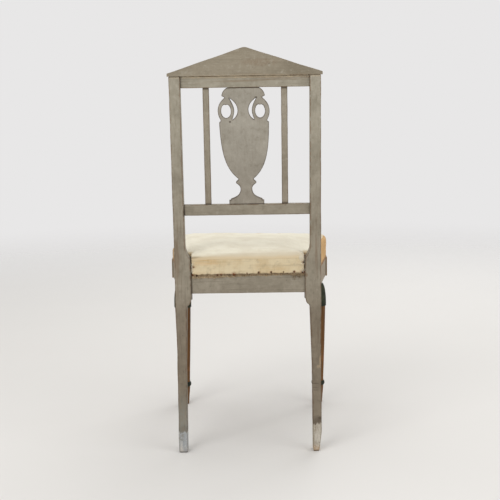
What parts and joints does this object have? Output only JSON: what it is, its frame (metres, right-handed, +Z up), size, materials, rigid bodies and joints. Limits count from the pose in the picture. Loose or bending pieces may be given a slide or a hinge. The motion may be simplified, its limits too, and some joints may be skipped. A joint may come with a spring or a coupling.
{
  "type": "side chair",
  "caption": "Painted wooden side chair with a pedimented back, a pierced urn splat between plain slats, turned front legs and a stuffed seat left in its undercovers.",
  "frame": {"origin": "on the floor under the middle of the whole chair", "axes": "+Z up, +X towards the sitter's left, -Y the way the sitter faces, so the back is on the +Y side"},
  "size_m": [0.4204, 0.4414, 0.9491],
  "materials": {
    "grey_paint": "old grey paint on wood, matt, rubbed at the edges and bare at the feet",
    "brown_wood": "brown stained wood with dark green and grey paint left on the turnings and the square head",
    "bare_wood": "unfinished sawn wood",
    "peg_wood": "painted over with the frame",
    "screw_steel": "dull old steel",
    "webbing": "woven jute tape",
    "hessian": "coarse open weave",
    "horsehair": "curled hair, loosely packed",
    "scrim": "tan canvas, stained, with a frayed lower edge",
    "calico": "cream calico, plain weave"
  },
  "bodies": {
    "root": {"rear_leg_left": "grey_paint", "rear_leg_right": "grey_paint", "crest_rail": "grey_paint", "cross_rail": "grey_paint", "pediment": "grey_paint", "urn_splat": "grey_paint", "slat_left": "grey_paint", "slat_right": "grey_paint", "rear_seat_rail": "grey_paint", "side_seat_rail_left": "grey_paint", "side_seat_rail_right": "grey_paint", "front_seat_rail": "grey_paint", "front_leg_left": "brown_wood", "front_leg_right": "brown_wood", "front_corner_block_left": "bare_wood", "front_corner_block_right": "bare_wood", "rear_corner_block_left": "bare_wood", "rear_corner_block_right": "bare_wood", "dowel_inner_left": "bare_wood", "dowel_inner_right": "bare_wood", "dowel_outer_left": "bare_wood", "dowel_outer_right": "bare_wood", "peg_crest_rail_left": "peg_wood", "peg_crest_rail_right": "peg_wood", "peg_cross_rail_left": "peg_wood", "peg_cross_rail_right": "peg_wood", "peg_rear_rail_left": "peg_wood", "peg_rear_rail_right": "peg_wood", "peg_side_rail_rear_left": "peg_wood", "peg_side_rail_rear_right": "peg_wood", "peg_side_rail_front_left": "peg_wood", "peg_side_rail_front_right": "peg_wood", "peg_front_rail_left": "peg_wood", "peg_front_rail_right": "peg_wood", "screw_front_block_front_left": "screw_steel", "screw_front_block_front_right": "screw_steel", "screw_front_block_side_left": "screw_steel", "screw_front_block_side_right": "screw_steel", "screw_rear_block_rear_left": "screw_steel", "screw_rear_block_rear_right": "screw_steel", "screw_rear_block_side_left": "screw_steel", "screw_rear_block_side_right": "screw_steel", "web_deep_left": "webbing", "web_deep_middle": "webbing", "web_deep_right": "webbing", "web_across_front": "webbing", "web_across_middle": "webbing", "web_across_rear": "webbing", "base_cloth": "hessian", "hair_stuffing": "horsehair", "scrim_border": "scrim", "calico_cover": "calico"}
  },
  "joints": []
}
